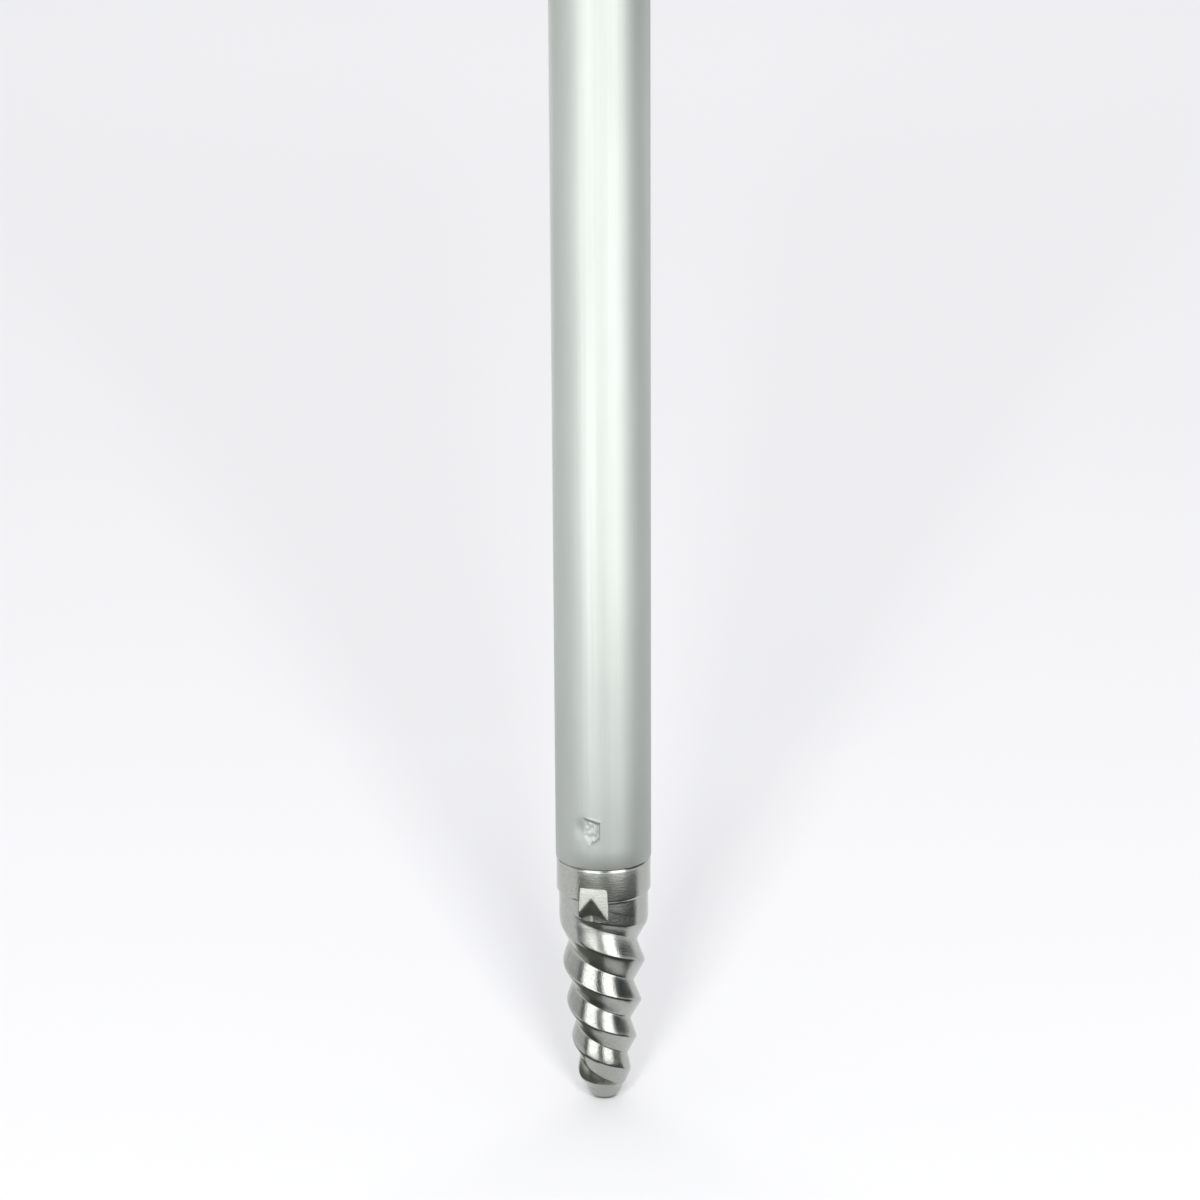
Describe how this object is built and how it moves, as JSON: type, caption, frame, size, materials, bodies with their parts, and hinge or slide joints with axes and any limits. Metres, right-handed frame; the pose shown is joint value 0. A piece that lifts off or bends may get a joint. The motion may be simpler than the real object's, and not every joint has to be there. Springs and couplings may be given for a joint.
{
  "type": "roller extension pole",
  "caption": "Telescopic painting pole: aluminium tube with a cast tapered screw tip for a roller handle, lever clamp, rubber grip and hanging eye.",
  "frame": {"origin": "the nose of the screw tip, on the pole's axis, with the pole half extended", "axes": "+Z along the pole from the tip to the butt; +X towards the clamp's stud; -Y is the side of the cam lever"},
  "size_m": [0.0514, 0.0399, 0.81],
  "materials": {
    "tip_casting": "bright zinc casting, semi-gloss with a fine grit and soft highlights",
    "inner_tube_alloy": "satin drawn aluminium, very light greenish grey",
    "outer_tube_alloy": "satin drawn aluminium, light grey",
    "moulded_black": "fine-textured black moulded plastic",
    "lever_plastic": "fine-textured black moulded plastic with a slight sheen",
    "slide_plastic": "smooth off-white acetal",
    "plug_plastic": "dark grey moulded plastic",
    "bright_steel": "zinc-plated steel, satin",
    "grip_rubber": "matt black ribbed rubber",
    "buffer_rubber": "matt black rubber"
  },
  "bodies": {
    "outer_section": {"outer_tube": "outer_tube_alloy", "clamp_collar": "moulded_black", "clamp_liner": "slide_plastic", "collar_screws": "bright_steel", "clamp_stud": "bright_steel", "lever_pin": "bright_steel", "cam_plate": "bright_steel", "grip_sleeve": "grip_rubber", "grip_ring_lower": "plug_plastic", "grip_ring_upper": "plug_plastic", "butt_cap": "moulded_black", "cap_screw": "bright_steel"},
    "glide_ring": {"glide_ring": "slide_plastic"},
    "inner_section": {"threaded_tip": "tip_casting", "inner_tube": "inner_tube_alloy", "guide_plug": "plug_plastic", "plug_pin": "bright_steel", "stop_sleeve": "slide_plastic", "end_bumper": "buffer_rubber"},
    "cam_lever": {"cam_lever": "lever_plastic"},
    "nut_washer": {"nut_washer": "bright_steel"},
    "thumb_nut": {"thumb_nut": "lever_plastic"}
  },
  "joints": [
    {"name": "telescope", "type": "slide", "parent": "outer_section", "child": "glide_ring", "axis": [0, 0, -1], "range_m": [-0.19, 0.19]},
    {"name": "tube_spin", "type": "hinge", "parent": "glide_ring", "child": "inner_section", "pos_m": [0, 0, 0], "axis": [0, 0, 1], "continuous": true},
    {"name": "lever_open", "type": "hinge", "parent": "outer_section", "child": "cam_lever", "pos_m": [0.0202, -0.01525, 0.291], "axis": [0, 0, 1], "range_deg": [0, 110]},
    {"name": "nut_advance", "type": "slide", "parent": "outer_section", "child": "nut_washer", "axis": [0, 1, 0], "range_m": [0, 0.0014]},
    {"name": "nut_turn", "type": "hinge", "parent": "nut_washer", "child": "thumb_nut", "pos_m": [0.0202, 0.008, 0.291], "axis": [0, 1, 0], "range_deg": [0, 720.5]}
  ],
  "couplings": [
    {"joint": "nut_turn", "follows": "nut_advance", "rad_per_m": 8976}
  ]
}
